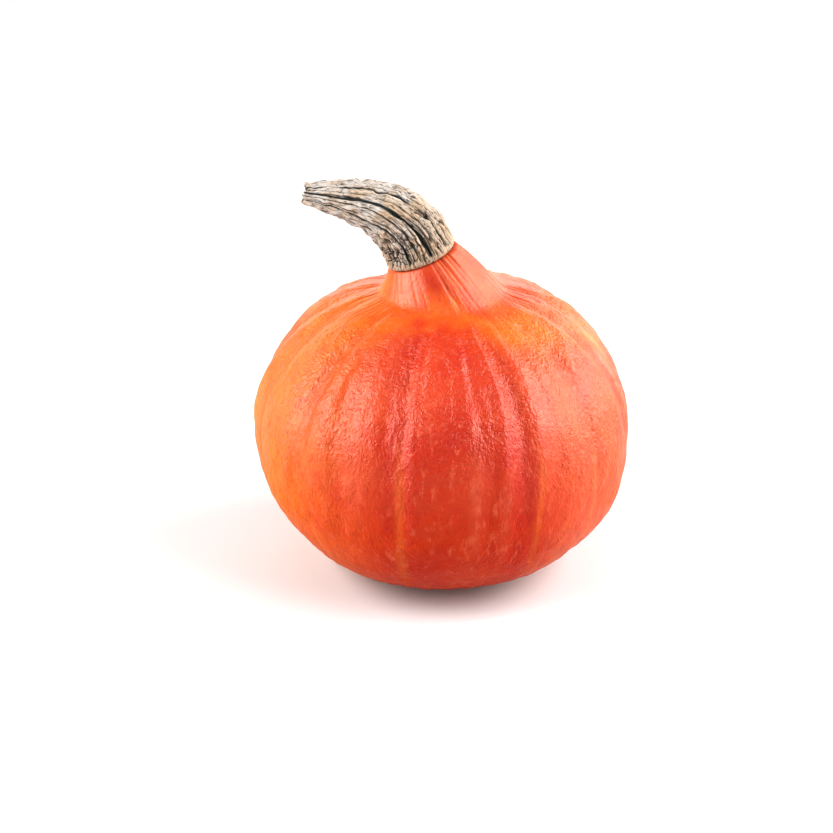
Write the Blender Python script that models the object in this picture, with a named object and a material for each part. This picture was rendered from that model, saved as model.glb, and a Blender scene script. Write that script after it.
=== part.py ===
"""Round orange-red winter squash with a leaning neck and a dried, corky, bent stem.

Metres, +Z up. The origin lies on the surface that the squash rests on, under the middle of its body.
The front of the squash faces -Y and its stem bends over towards -X. An azimuth is counted in degrees
from the front, towards +X.
"""

import math

import bmesh
import bpy
from mathutils import Vector, noise

# Body: a dome above the widest level and a squarer bowl below it, both superellipses.
BODY_RADIUS = 0.0841
WIDEST_LEVEL = 0.0628
DOME_RISE = 0.0679
DOME_SQUARENESS = 2.14
BOWL_SQUARENESS = 2.65
BODY_SEGMENTS = 108
BOWL_RINGS = 16
DOME_RINGS = 11
DOME_END_RADIUS = 0.052

# Foot: the flat ring that the squash rests on, round the small scar that the blossom left.
FOOT_OUTER_RADIUS = 0.019
FOOT_INNER_RADIUS = 0.009
BOWL_START_RADIUS = 0.024
SCAR_BUTTON_RADIUS = 0.0040
SCAR_BUTTON_LIFT = 0.0010
SCAR_GROOVE_RADIUS = 0.0058
SCAR_GROOVE_LIFT = 0.0024

# Neck: a nearly straight cone that leans with its top face towards -X.
NECK_TOP_RADIUS = 0.0148
NECK_TOP_LEVEL = 0.1445
NECK_FOOT_RADIUS = 0.0272
NECK_FOOT_BLEND = 0.10
NECK_LEAN = 0.0087
NECK_TILT = math.radians(20.7)
NECK_RINGS = 10
NECK_EDGE_ROUNDING = 0.0012

# Furrows and welts of the front, as (azimuth, height, half width in degrees). A furrow's height is negative.
FRONT_RELIEF = (
    (-76.0, -0.0011, 5.0),
    (-62.0, 0.0006, 8.0),
    (-48.0, -0.0012, 4.4),
    (-40.0, 0.0008, 4.0),
    (-33.0, -0.0009, 4.0),
    (-16.5, -0.0013, 4.2),
    (-8.0, 0.0011, 3.1),
    (0.0, -0.0003, 3.6),
    (6.5, 0.0004, 3.4),
    (18.5, 0.0009, 3.0),
    (24.5, -0.0010, 2.6),
    (31.0, 0.0009, 3.4),
    (53.0, -0.0010, 5.0),
    (66.0, 0.0004, 6.0),
    (77.0, -0.0012, 5.0),
)
# The back repeats the same kind of furrow at an even pitch, each a little out of place.
BACK_FURROW_FIRST = 98.0
BACK_FURROW_LAST = 262.0
BACK_FURROW_COUNT = 8
BACK_FURROW_WANDER = 4.0
BACK_FURROW_DEPTH = 0.0013
BACK_FURROW_HALF_WIDTH = 5.0
BACK_WELT_SHARE = -0.5
BACK_SEED = 3.7
RELIEF_FADE_IN = (0.30, 0.64)
RELIEF_FADE_OUT = (0.88, 0.72)
RELIEF_SWAY_DEG = 2.5

# Broad unevenness of the body, as (azimuth, level, height, half width in degrees, half width in level),
# and the pleats that gather the skin into the neck.
BROAD_SWELLINGS = (
    (-125.0, 0.720, 0.0010, 30.0, 0.080),
    (-122.0, 0.705, 0.0014, 9.0, 0.030),
    (-106.0, 0.645, -0.0008, 25.0, 0.060),
    (-72.0, 0.310, -0.0050, 45.0, 0.115),
    (72.0, 0.290, -0.0022, 40.0, 0.100),
    (104.0, 0.635, -0.0015, 30.0, 0.070),
    (123.0, 0.705, 0.0009, 16.0, 0.040),
)
UNEVEN_FADE_IN = (0.16, 0.42)
LUMP_HEIGHT = 0.0009
LUMP_SIZE = 0.034
PLEAT_COUNT = 17
PLEAT_HEIGHT = 0.0005

# Stem: the centre line is a cubic Bezier from the neck's top face to the broken tip.
STEM_GAP = 0.0003
STEM_BASE_RADIUS = 0.0151
STEM_TIP_RADIUS = 0.0046
STEM_FIRST_HANDLE = 0.0250
STEM_SECOND_HANDLE = Vector((-0.0335, 0.0020, 0.1688))
STEM_TIP = Vector((-0.0590, 0.0030, 0.1719))
STEM_SEGMENTS = 66
STEM_RINGS = 24
COLLAR_HEIGHT = 0.0008
COLLAR_LEVEL = 0.06
COLLAR_HALF_WIDTH = 0.05
LIP_SHARE = 0.955
STEM_RIDGE_COUNT = 11
STEM_RIDGE_HEIGHT = 0.0016
STEM_RIDGE_SWAY = 0.5
STEM_LUMP_HEIGHT = 0.0007
STEM_LUMP_SIZE = 0.011
TIP_RAGGEDNESS = 0.0014
TIP_HOLLOW_DEPTH = 0.03

SKIN_COLOUR = (0.72, 0.075, 0.018, 1.0)
CORK_COLOUR = (0.36, 0.27, 0.19, 1.0)


def smoothstep(value, edges):
    """0 at the first edge and 1 at the second, with an even start and end; the edges may fall or rise."""
    share = (value - edges[0]) / (edges[1] - edges[0])
    share = min(1.0, max(0.0, share))
    return share * share * (3 - 2 * share)


def superellipse_point(angle, rise, squareness):
    """(radius, height above the widest level) at an angle above the horizontal."""
    across = abs(math.cos(angle) / BODY_RADIUS) ** squareness
    upright = abs(math.sin(angle) / rise) ** squareness
    reach = (across + upright) ** (-1 / squareness)
    return reach * math.cos(angle), reach * math.sin(angle)


def superellipse_height(radius, rise, squareness):
    return rise * (1 - (radius / BODY_RADIUS) ** squareness) ** (1 / squareness)


def superellipse_angle(radius, rise, squareness):
    return math.atan2(superellipse_height(radius, rise, squareness), radius)


def neck_share(radius):
    """How far a point of the dome belongs to the neck: 0 on the shoulder, 1 on the neck's top face."""
    reach = (NECK_FOOT_RADIUS - radius) / (NECK_FOOT_RADIUS - NECK_TOP_RADIUS)
    full = NECK_FOOT_BLEND * math.log1p(math.exp(1 / NECK_FOOT_BLEND))
    return min(1.0, NECK_FOOT_BLEND * math.log1p(math.exp(reach / NECK_FOOT_BLEND)) / full)


def dome_height(radius):
    """Height of the dome and neck above the widest level, before the neck leans."""
    top = NECK_TOP_LEVEL - WIDEST_LEVEL
    edge = superellipse_height(NECK_TOP_RADIUS, DOME_RISE, DOME_SQUARENESS)
    return superellipse_height(radius, DOME_RISE, DOME_SQUARENESS) + (top - edge) * neck_share(radius)


def fruit_profile():
    """The body's half outline as (radius, z), from the middle of the foot to the middle of the neck's top."""
    outline = [
        (0.0, SCAR_BUTTON_LIFT),
        (SCAR_BUTTON_RADIUS, SCAR_BUTTON_LIFT),
        (SCAR_GROOVE_RADIUS, SCAR_GROOVE_LIFT),
        (FOOT_INNER_RADIUS, 0.0),
        (FOOT_OUTER_RADIUS, 0.0),
    ]
    start = superellipse_angle(BOWL_START_RADIUS, WIDEST_LEVEL, BOWL_SQUARENESS)
    for step in range(BOWL_RINGS):
        angle = -start * (1 - step / BOWL_RINGS)
        radius, height = superellipse_point(angle, WIDEST_LEVEL, BOWL_SQUARENESS)
        outline.append((radius, WIDEST_LEVEL + height))
    end = superellipse_angle(DOME_END_RADIUS, DOME_RISE, DOME_SQUARENESS)
    for step in range(DOME_RINGS):
        radius, height = superellipse_point(end * step / DOME_RINGS, DOME_RISE, DOME_SQUARENESS)
        outline.append((radius, WIDEST_LEVEL + dome_height(radius)))
    for step in range(NECK_RINGS):
        radius = DOME_END_RADIUS + (NECK_TOP_RADIUS - DOME_END_RADIUS) * step / (NECK_RINGS - 1)
        outline.append((radius, WIDEST_LEVEL + dome_height(radius)))
    outline.append((NECK_TOP_RADIUS - NECK_EDGE_ROUNDING, NECK_TOP_LEVEL))
    outline.append((0.0, NECK_TOP_LEVEL))
    return outline


def turned_blank(outline, segments):
    """A closed mesh that turns the outline about Z. The outline starts and ends on the axis."""
    blank = bmesh.new()
    points = [blank.verts.new((radius, 0.0, z)) for radius, z in outline]
    edges = [blank.edges.new(pair) for pair in zip(points, points[1:])]
    bmesh.ops.spin(
        blank,
        geom=points + edges,
        axis=(0, 0, 1),
        cent=(0, 0, 0),
        angle=2 * math.pi,
        steps=segments,
        use_merge=True,
    )
    bmesh.ops.remove_doubles(blank, verts=blank.verts, dist=1e-6)
    bmesh.ops.dissolve_degenerate(blank, edges=blank.edges, dist=1e-6)
    bmesh.ops.recalc_face_normals(blank, faces=blank.faces)
    return blank


def back_relief():
    """The furrows of the hidden side, with a low welt after each."""
    pitch = (BACK_FURROW_LAST - BACK_FURROW_FIRST) / (BACK_FURROW_COUNT - 1)
    relief = []
    for index in range(BACK_FURROW_COUNT):
        shift = BACK_FURROW_WANDER * noise.noise(Vector((index * BACK_SEED, BACK_SEED, 0.5)))
        azimuth = BACK_FURROW_FIRST + pitch * index + shift
        relief.append((azimuth, -BACK_FURROW_DEPTH, BACK_FURROW_HALF_WIDTH))
        welt = azimuth + pitch / 2
        relief.append((welt, BACK_WELT_SHARE * -BACK_FURROW_DEPTH, BACK_FURROW_HALF_WIDTH))
    return relief


BODY_RELIEF = list(FRONT_RELIEF) + back_relief()


def body_relief(azimuth, level, place):
    """How far the skin stands out at an azimuth in degrees and a level from 0, foot, to 1, neck."""
    sway = RELIEF_SWAY_DEG * noise.noise(Vector((azimuth / 30, level * 3, BACK_SEED)))
    height = 0.0
    for centre, peak, half_width in BODY_RELIEF:
        off = (azimuth + sway - centre + 180) % 360 - 180
        height += peak * math.exp(-((off / half_width) ** 2))
    height *= smoothstep(level, RELIEF_FADE_IN) * smoothstep(level, RELIEF_FADE_OUT)
    lumps = LUMP_HEIGHT * noise.noise(place / LUMP_SIZE)
    for centre, middle, peak, half_width, half_level in BROAD_SWELLINGS:
        off = ((azimuth - centre + 180) % 360 - 180) / half_width
        lumps += peak * math.exp(-(off**2) - ((level - middle) / half_level) ** 2)
    return height + lumps * smoothstep(level, UNEVEN_FADE_IN)


def outward(radius, height):
    """The body's outward direction in its half outline, as (radial, upward)."""
    rise, squareness = (DOME_RISE, DOME_SQUARENESS) if height > 0 else (WIDEST_LEVEL, BOWL_SQUARENESS)
    radial = radius ** (squareness - 1) / BODY_RADIUS**squareness
    upward = math.copysign(abs(height) ** (squareness - 1) / rise**squareness, height)
    return Vector((radial, upward)).normalized()


def shape_fruit_point(place):
    """Moves a point of the turned body to where the real skin is."""
    radius = math.hypot(place.x, place.y)
    if radius < FOOT_OUTER_RADIUS + 1e-6 and place.z < WIDEST_LEVEL:
        return place
    height = place.z - WIDEST_LEVEL
    azimuth = math.degrees(math.atan2(place.x, -place.y)) if radius > 0 else 0.0
    level = 0.5 + math.atan2(height, radius) / math.pi
    share = neck_share(radius) if height > 0 else 0.0
    radial, upward = outward(max(radius, NECK_TOP_RADIUS), height)
    swell = body_relief(azimuth, level, place) * (1 - share)
    pleat = PLEAT_HEIGHT * math.sin(math.radians(azimuth) * PLEAT_COUNT) * 4 * share * (1 - share)
    grow = (swell + pleat) * (radial if share < 0.5 else 1.0)
    shaped = Vector((place.x, place.y, place.z + swell * upward))
    if radius > 0:
        shaped.x += grow * place.x / radius
        shaped.y += grow * place.y / radius
    shaped.z += shaped.x * math.tan(NECK_TILT) * share
    shaped.x -= NECK_LEAN * share
    return shaped


def make_fruit():
    body = turned_blank(fruit_profile(), BODY_SEGMENTS)
    for vertex in body.verts:
        vertex.co = shape_fruit_point(vertex.co.copy())
    return finish_object("squash_fruit", body, skin_material())


def neck_top_frame():
    """The middle of the neck's top face and the direction in which it faces."""
    middle = Vector((-NECK_LEAN, 0.0, NECK_TOP_LEVEL))
    facing = Vector((-math.sin(NECK_TILT), 0.0, math.cos(NECK_TILT)))
    return middle, facing


def stem_handles():
    middle, facing = neck_top_frame()
    start = middle + facing * STEM_GAP
    return start, start + facing * STEM_FIRST_HANDLE, STEM_SECOND_HANDLE, STEM_TIP


def stem_centre(share):
    """A point on the stem's centre line and the line's direction there, from 0, base, to 1, tip."""
    a, b, c, d = stem_handles()
    rest = 1 - share
    point = a * rest**3 + b * (3 * rest * rest * share) + c * (3 * rest * share * share) + d * share**3
    along = (b - a) * (rest * rest) + (c - b) * (2 * rest * share) + (d - c) * (share * share)
    return point, along.normalized()


def stem_radius(share, angle):
    """The stem's radius with its taper, its collar and its cork ridges."""
    taper = math.cos(math.pi / 2 * min(1.0, share))
    mean = STEM_TIP_RADIUS + (STEM_BASE_RADIUS - STEM_TIP_RADIUS) * taper
    collar = COLLAR_HEIGHT * math.exp(-(((share - COLLAR_LEVEL) / COLLAR_HALF_WIDTH) ** 2))
    sway = STEM_RIDGE_SWAY * noise.noise(Vector((math.cos(angle), math.sin(angle), share * 3)))
    ridge = abs(math.sin((angle + sway) * STEM_RIDGE_COUNT / 2)) - 0.6
    fade = smoothstep(share, (0.03, 0.18)) * mean / STEM_BASE_RADIUS
    return mean + collar + STEM_RIDGE_HEIGHT * ridge * fade


def shape_stem_point(place):
    """Bends a point of the turned column, of radius 1 and height 1, onto the stem."""
    share, angle = place.z, math.atan2(place.y, place.x)
    middle, along = stem_centre(min(1.0, share))
    side = Vector((0, 1, 0))
    side = (side - along * side.dot(along)).normalized()
    inward = side.cross(along)
    reach = math.hypot(place.x, place.y) * stem_radius(share, angle)
    shaped = middle + (inward * math.cos(angle) + side * math.sin(angle)) * reach
    if share > 0:
        lump = STEM_LUMP_HEIGHT * noise.noise(shaped / STEM_LUMP_SIZE) * smoothstep(share, (0.02, 0.2))
        shaped += (shaped - middle).normalized() * lump
    torn = math.sin(3 * angle + 1) + 0.6 * math.sin(7 * angle)
    return shaped + along * TIP_RAGGEDNESS * torn * smoothstep(share, (0.9, 1.0))


def make_stem():
    outline = [(0.0, 0.0), (LIP_SHARE, 0.0), (1.0, 0.012)]
    outline += [(1.0, 0.012 + (1 - 0.012) * step / STEM_RINGS) for step in range(1, STEM_RINGS + 1)]
    outline += [(0.72, 1.0), (0.5, 1 - TIP_HOLLOW_DEPTH), (0.0, 1 - TIP_HOLLOW_DEPTH)]
    column = turned_blank(outline, STEM_SEGMENTS)
    for vertex in column.verts:
        vertex.co = shape_stem_point(vertex.co.copy())
    return finish_object("squash_stem", column, cork_material())


def plain_material(name, colour, roughness):
    material = bpy.data.materials.new(name)
    material.use_nodes = True
    shader = material.node_tree.nodes["Principled BSDF"]
    shader.inputs["Base Color"].default_value = colour
    shader.inputs["Roughness"].default_value = roughness
    shader.inputs["Metallic"].default_value = 0.0
    material.diffuse_color = colour
    return material


def skin_material():
    return plain_material("orange_red_skin", SKIN_COLOUR, 0.42)


def cork_material():
    return plain_material("dried_cork", CORK_COLOUR, 0.9)


def finish_object(name, shape, material):
    mesh = bpy.data.meshes.new(name)
    shape.to_mesh(mesh)
    shape.free()
    mesh.shade_smooth()
    mesh.materials.append(material)
    made = bpy.data.objects.new(name, mesh)
    bpy.context.scene.collection.objects.link(made)
    return made


def main():
    for old in list(bpy.data.objects):
        bpy.data.objects.remove(old, do_unlink=True)
    make_fruit()
    make_stem()


main()
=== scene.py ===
"""The looks of a whole orange-red winter squash: its furrowed, finely wrinkled skin and its dried corky stem.

Metres, +Z up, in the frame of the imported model. The origin lies on the surface that the squash rests on,
under the middle of its body. The front of the squash faces -Y and its stem bends over towards -X.
An azimuth is counted in degrees from the front, towards +X. A level runs from 0 at the foot, over 0.5 at
the widest part, to 1 at the neck.
"""

import math

import bmesh
import bpy
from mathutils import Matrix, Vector, noise


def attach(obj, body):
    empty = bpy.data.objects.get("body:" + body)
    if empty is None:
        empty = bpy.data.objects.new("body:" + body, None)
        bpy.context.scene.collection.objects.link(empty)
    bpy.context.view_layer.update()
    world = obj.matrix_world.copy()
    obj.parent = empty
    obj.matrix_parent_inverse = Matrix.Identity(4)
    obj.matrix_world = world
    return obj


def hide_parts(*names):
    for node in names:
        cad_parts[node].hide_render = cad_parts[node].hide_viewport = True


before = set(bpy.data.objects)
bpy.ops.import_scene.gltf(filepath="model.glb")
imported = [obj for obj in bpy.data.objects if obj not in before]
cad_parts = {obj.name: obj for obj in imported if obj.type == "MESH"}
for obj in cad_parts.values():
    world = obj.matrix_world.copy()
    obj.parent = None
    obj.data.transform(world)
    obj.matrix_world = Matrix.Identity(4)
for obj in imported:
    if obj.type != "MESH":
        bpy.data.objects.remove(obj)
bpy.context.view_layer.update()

# The camera of the photograph.
PHOTO_SIZE = 833
SENSOR_WIDTH = 36.0
LENS = 110.0
VIEW_WIDTH = 0.37485
CAMERA_ELEVATION = 25.0
AIM_PIXEL = (442.0, 425.0)

# Softboxes as (name, azimuth, elevation, distance, sides, radiance).
SOFTBOXES = (
    ("softbox_left", -75.0, 29.0, 1.25, (1.20, 1.10), 6.6),
    ("softbox_right", 84.0, 31.5, 1.30, (1.75, 1.12), 6.1),
    ("softbox_above", 0.0, 88.0, 1.60, (1.40, 1.40), 0.5),
    ("backdrop_glow", 170.0, 12.0, 2.20, (4.60, 0.95), 3.0),
)
WORLD_STRENGTH = 0.10

# The photograph's contrasty tone: a little brighter, with deeper dark tones.
EXPOSURE_STOPS = 0.28
TONE_GAMMA = 0.76

# Body: a dome above the widest level and a squarer bowl below it, both superellipses.
BODY_RADIUS = 0.0841
WIDEST_LEVEL = 0.0628
DOME_RISE = 0.0679
DOME_SQUARENESS = 2.14
BOWL_SQUARENESS = 2.65
BODY_SEGMENTS = 440
BOWL_RINGS = 84
DOME_RINGS = 62
DOME_END_RADIUS = 0.052
FOOT_RINGS = 7

# Foot: the flat ring that the squash rests on, round the small scar that the blossom left.
FOOT_OUTER_RADIUS = 0.019
FOOT_INNER_RADIUS = 0.009
SCAR_BUTTON_RADIUS = 0.0040
SCAR_BUTTON_LIFT = 0.0010
SCAR_GROOVE_RADIUS = 0.0058
SCAR_GROOVE_LIFT = 0.0024

# Neck: a nearly straight cone that leans with its top face towards -X.
NECK_TOP_RADIUS = 0.0148
NECK_TOP_LEVEL = 0.1445
NECK_FOOT_RADIUS = 0.0272
NECK_FOOT_BLEND = 0.10
NECK_LEAN = 0.0087
NECK_TILT = math.radians(20.7)
NECK_RINGS = 54
NECK_EDGE_ROUNDING = 0.0012

# Furrows and welts of the front, as (azimuth, height, half width in degrees). A furrow's height is negative.
FRONT_RELIEF = (
    (-76.0, -0.0011, 5.0),
    (-62.0, 0.0006, 8.0),
    (-48.0, -0.0012, 4.4),
    (-40.0, 0.0008, 4.0),
    (-33.0, -0.0009, 4.0),
    (-16.5, -0.0013, 4.2),
    (-8.0, 0.0011, 3.1),
    (0.0, -0.0003, 3.6),
    (6.5, 0.0004, 3.4),
    (18.5, 0.0009, 3.0),
    (24.5, -0.0010, 2.6),
    (31.0, 0.0009, 3.4),
    (53.0, -0.0010, 5.0),
    (66.0, 0.0004, 6.0),
    (77.0, -0.0012, 5.0),
)
# The back repeats the same kind of furrow at an even pitch, each a little out of place.
BACK_FURROW_FIRST = 98.0
BACK_FURROW_LAST = 262.0
BACK_FURROW_COUNT = 8
BACK_FURROW_WANDER = 4.0
BACK_FURROW_DEPTH = 0.0013
BACK_FURROW_HALF_WIDTH = 5.0
BACK_WELT_SHARE = -0.5
BACK_SEED = 3.7
RELIEF_FADE_IN = (0.30, 0.64)
RELIEF_FADE_OUT = (0.88, 0.72)
RELIEF_SWAY_DEG = 2.5
# A drift is a slow change over the skin or the cork: (width across, changes along, seed).
RELIEF_DRIFT = (30.0, 3.0, BACK_SEED)

# A spot on the body is (azimuth, level, half width in degrees, half width in level). The broad unevenness
# of the body is a few spots, each followed by its height.
BROAD_SWELLINGS = (
    (-125.0, 0.720, 30.0, 0.080, 0.0010),
    (-122.0, 0.705, 9.0, 0.030, 0.0014),
    (-106.0, 0.645, 25.0, 0.060, -0.0008),
    (-72.0, 0.310, 45.0, 0.115, -0.0050),
    (72.0, 0.290, 40.0, 0.100, -0.0022),
    (104.0, 0.635, 30.0, 0.070, -0.0015),
    (123.0, 0.705, 16.0, 0.040, 0.0009),
)
UNEVEN_FADE_IN = (0.16, 0.42)
LUMP_HEIGHT = 0.0009
LUMP_SIZE = 0.034

# Creases beside the furrows. Those of the front are (azimuth, strength, lowest and highest level), where a
# negative strength makes a thin ridge, and the others are scattered.
FRONT_CREASES = (
    (-75.0, 1.0, 0.45, 0.72),
    (-49.5, 0.6, 0.48, 0.73),
    (-43.0, -0.5, 0.50, 0.72),
    (-36.0, 1.1, 0.62, 0.80),
    (-28.0, -0.4, 0.60, 0.80),
    (-19.5, 0.6, 0.60, 0.81),
    (-15.8, -0.6, 0.60, 0.82),
    (-12.0, 0.7, 0.54, 0.78),
    (-9.0, -0.5, 0.58, 0.80),
    (-5.5, 0.5, 0.52, 0.74),
    (2.5, 0.5, 0.56, 0.74),
    (10.0, -0.9, 0.42, 0.58),
    (14.5, 0.9, 0.40, 0.60),
    (8.0, -0.5, 0.60, 0.78),
    (11.5, 0.6, 0.56, 0.77),
    (16.0, 0.6, 0.60, 0.76),
    (19.0, -0.7, 0.60, 0.79),
    (22.0, 0.5, 0.62, 0.84),
    (26.0, 0.5, 0.60, 0.80),
    (30.5, -0.5, 0.58, 0.78),
    (37.5, 0.7, 0.56, 0.78),
    (46.0, -0.4, 0.50, 0.74),
    (55.0, 0.9, 0.45, 0.72),
    (70.0, -0.5, 0.54, 0.78),
    (76.0, 0.8, 0.46, 0.74),
    (81.0, -1.1, 0.52, 0.70),
)
CREASE_COUNT = 72
CREASE_DEPTH = 0.00060
CREASE_HALF_WIDTH = 1.0
CREASE_REACH = 4.0
CREASE_SWAY_DEG = 3.2
CREASE_DRIFT = (9.0, 11.0, 1.7)
CREASE_BREAKS = (14.0, 9.0, 6.1)
CREASE_BREAK_EDGES = (-0.25, 0.25)
FRONT_CREASE_SHARE = 0.45
FRONT_TO_SIDE = (60.0, 90.0)
FRONT_CREASE_END = 0.08
FRONT_CREASE_HALF_WIDTH = 1.3
FRONT_CREASE_REACH = 5.0
FRONT_CREASE_SWAY_DEG = 1.2
SCATTER_WANDER = 0.9
WEAKEST = 0.3

# Pebbles and grain of the skin, in patches, and where they fade.
PEBBLE_HEIGHT = 0.00050
PEBBLE_SIZE = 0.0060
GRAIN_HEIGHT = 0.00030
GRAIN_SIZE = 0.0030
GRAIN_STRETCH = 0.70
ROUGH_PATCH_SIZE = 0.021
ROUGH_PATCH_EDGES = (-0.4, 0.3)
LEAST_ROUGHNESS = 0.65
NECK_SMOOTHNESS = 0.70
NECK_SMOOTH_LEVELS = (0.76, 0.89)
ROUGH_FADE_IN = (0.10, 0.20)
WRINKLE_FADE_IN = (0.10, 0.18)

# Pleats that gather the skin into the neck: those of the front as (azimuth, strength), the rest scattered.
FRONT_PLEATS = (
    (-72.0, 0.35),
    (-50.0, 0.15),
    (-38.0, 0.20),
    (-20.0, 0.28),
    (-11.0, 0.18),
    (18.0, 1.3),
    (27.0, 0.6),
    (35.0, 1.4),
    (42.0, 0.5),
    (49.0, 1.0),
    (84.0, 0.6),
)
PLEAT_COUNT = 32
PLEAT_DEPTH = 0.00070
PLEAT_HALF_WIDTH = 2.4
PLEAT_SWAY_DEG = 4.0
PLEAT_DRIFT = (7.0, 9.0, 9.4)
PLEAT_FADING = (7.0, 21.0, 14.4)
PLEAT_REACH = 9.0
PLEAT_NECK_SHARES = (0.05, 0.45)

# Stem: the centre line is a cubic Bezier from the neck's top face to the broken tip.
STEM_BASE_RADIUS = 0.0151
STEM_TIP_RADIUS = 0.0046
STEM_FIRST_HANDLE = 0.0250
STEM_SECOND_HANDLE = Vector((-0.0335, 0.0020, 0.1688))
STEM_TIP = Vector((-0.0590, 0.0030, 0.1719))
STEM_SEGMENTS = 300
STEM_RINGS = 210
COLLAR_HEIGHT = 0.0003
COLLAR_LEVEL = 0.030
COLLAR_HALF_WIDTH = 0.030
COLLAR_END = (0.028, 0.060)
COLLAR_END_WANDER = 0.04
# The lip at the stem's base and the hollow torn tip, as (share of the radius, share of the length).
LIP_ROUNDING = ((0.90, 0.0), (0.945, 0.004), (0.98, 0.012))
LIP_END = 0.028
TIP_ROUNDING = ((0.90, 1.008), (0.72, 1.004), (0.5, 0.992), (0.25, 0.98), (0.0, 0.98))
TIP_INNER = (0.9, 0.8)
# The grooves that the front shows, as (angle, depth, width). Angle 0 is the outer side of the bend, and
# the front is at -pi / 2. The other sides have scattered grooves.
FRONT_GROOVES = (
    (-2.45, 0.9, 0.9),
    (-1.85, 0.9, 0.9),
    (-1.45, 0.7, 0.6),
    (-1.18, 1.2, 1.1),
    (-0.88, 0.6, 0.5),
    (-0.58, 0.8, 0.8),
    (-0.25, 0.7, 0.5),
)
STEM_GROOVE_COUNT = 15
STEM_GROOVE_DEPTH = 0.0017
STEM_GROOVE_HALF_WIDTH = 0.052
STEM_GROOVE_WANDER = 0.36
STEM_GROOVE_SWAY = 0.11
STEM_GROOVE_DRIFT = (1 / 3, 4.5, 2.2)
STEM_GROOVE_SHIVER = 0.03
STEM_GROOVE_SHIVER_DRIFT = (1 / 5, 17.0, 4.2)
STEM_GROOVE_WIDTH_DRIFT = (1.0, 12.0, 7.7)
GROOVE_FLARE = 0.45
FINE_GROOVE_COUNT = 41
FINE_GROOVE_HALF_WIDTH = 0.026
FINE_GROOVE_SHARE = 0.80
CRACK_DEPTH = 0.0008
CRACK_ACROSS = 0.0021
CRACK_ALONG = 0.0330
LONG_CRACK_EDGES = (0.110, 0.015)
SHORT_CRACK_EDGES = (0.100, 0.010)
SHORT_CRACK_SHARE = 0.75
CRACK_CROWD_LEVELS = (0.55, 0.25)
CORK_LENGTH = 0.062
FIBRE_STRETCH = 9.0
STRAND_HEIGHT = 0.00060
STRAND_SIZE = 0.0012
STRAND_STRETCH = 5.0
CHUNK_ACROSS = 0.0030
CHUNK_ALONG = 0.0050
CHUNK_PLACE = (-2.2, 0.9)
CHUNK_SEED = 11
CHUNK_LEVELS = (0.42, 0.18)
CHUNK_CRACK_EDGES = (0.11, 0.02)
TAN_SIDE = (-0.3, 0.7)
TAN_LEVELS = (0.50, 0.05)
CORK_THICKENING = 0.0004
STEM_LUMP_HEIGHT = 0.0008
STEM_LUMP_SIZE = 0.009
STEM_KNOB_HEIGHT = 0.0009
STEM_KNOB_SIZE = 0.0030
TIP_RAGGEDNESS = 0.0010
TIP_RAGGED_LEVELS = (0.86, 1.0)

# Skin markings, painted shade and painted highlights. A cloud is (strength, size in metres).
ORANGE_RING_LEVEL = 0.885
ORANGE_RING_DROP = 0.15
ORANGE_RING_HALF = 0.040
ORANGE_RING_SIDES = (0.0, 75.0)
RING_RAGGEDNESS = (0.045, 0.009)
RING_CLOUD = (0.9, 0.008)
LOBE_MIDDLE = 4.0
LOBE_EDGES = (16.0, 44.0)
LOBE_STRENGTH = 0.9
LOBE_CLOUD = (0.5, 0.014)
NECK_LEVELS = (0.885, 0.905)
# Painted shade: the furrows are darkened by their depth, fully at the given depth.
FURROW_SHADE_SHARE = 0.28
FURROW_SHADE_FULL_DEPTH = 0.0018
# Painted shade: the dark red spot under the front of the stem and the one on the front of the body.
STEM_SHADE_SPOT = (4.0, 0.920, 12.0, 0.022)
STEM_SHADE_SHARE = 0.75
FRONT_SHADE_SPOT = (8.0, 0.61, 9.0, 0.065)
FRONT_SHADE_SHARE = 0.40
FRONT_SHADE_CLOUD = (0.8, 0.007)
ORANGE_SIDE_AZIMUTH = -84.0
ORANGE_SIDE_HALF = 36.0
ORANGE_CLOUDS = ((1.0, 0.030), (0.5, 0.012))
ORANGE_CLOUD_SHARE = 0.6
ORANGE_CLOUD_EDGES = (-0.3, 0.5)
ORANGE_BACK_SHARE = 0.5
ORANGE_BACK_SIDES = (90.0, 150.0)
ORANGE_FOOT_SHARE = 0.7
ORANGE_FOOT_LEVELS = (0.28, 0.12)
ORANGE_TOP_LEVELS = (0.98, 0.90)
# Orange spots, each followed by its strength.
ORANGE_SPOTS = (
    (50.0, 0.80, 22.0, 0.05, 0.8),
    (-49.0, 0.46, 6.0, 0.08, 0.8),
)
YELLOW_PATCH = (93.0, 0.685, 9.0, 0.045)
YELLOW_LEAN_DEG = 30.0
YELLOW_CLOUD = (0.7, 0.008)
# Veins, as (azimuth, half width in degrees), which are broken except along the middle of the front.
VEINS = (
    (-75.0, 0.7),
    (-43.0, 0.7),
    (-12.5, 1.5),
    (30.0, 0.8),
    (52.0, 0.7),
    (75.0, 0.7),
    (108.0, 0.7),
    (141.0, 0.7),
    (176.0, 0.7),
    (209.0, 0.7),
    (243.0, 0.7),
)
WHOLE_VEIN_REACH = (40.0, 32.0)
VEIN_FADE_IN = (0.25, 0.40)
VEIN_FADE_OUT = (0.64, 0.52)
VEIN_SWAY_DEG = 1.6
VEIN_DRIFT = (20.0, 7.0, 3.3)
VEIN_BREAKS = (8.0, 10.0, 8.8)
VEIN_BREAK_EDGES = (-0.4, 0.2)
# Painted highlights: pale lines along ridges and welts of the skin, as (azimuth, half width in degrees,
# lowest and highest level, strength).
PAINTED_HIGHLIGHT_LINES = (
    (10.0, 1.8, 0.42, 0.57, 0.3),
    (81.0, 0.8, 0.55, 0.68, 1.0),
    (-29.0, 2.5, 0.46, 0.56, 0.2),
    (19.5, 1.6, 0.40, 0.54, 0.25),
)
HIGHLIGHT_LINE_END = 0.03
HIGHLIGHT_LINE_CLOUD = (0.9, 0.004)
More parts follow.
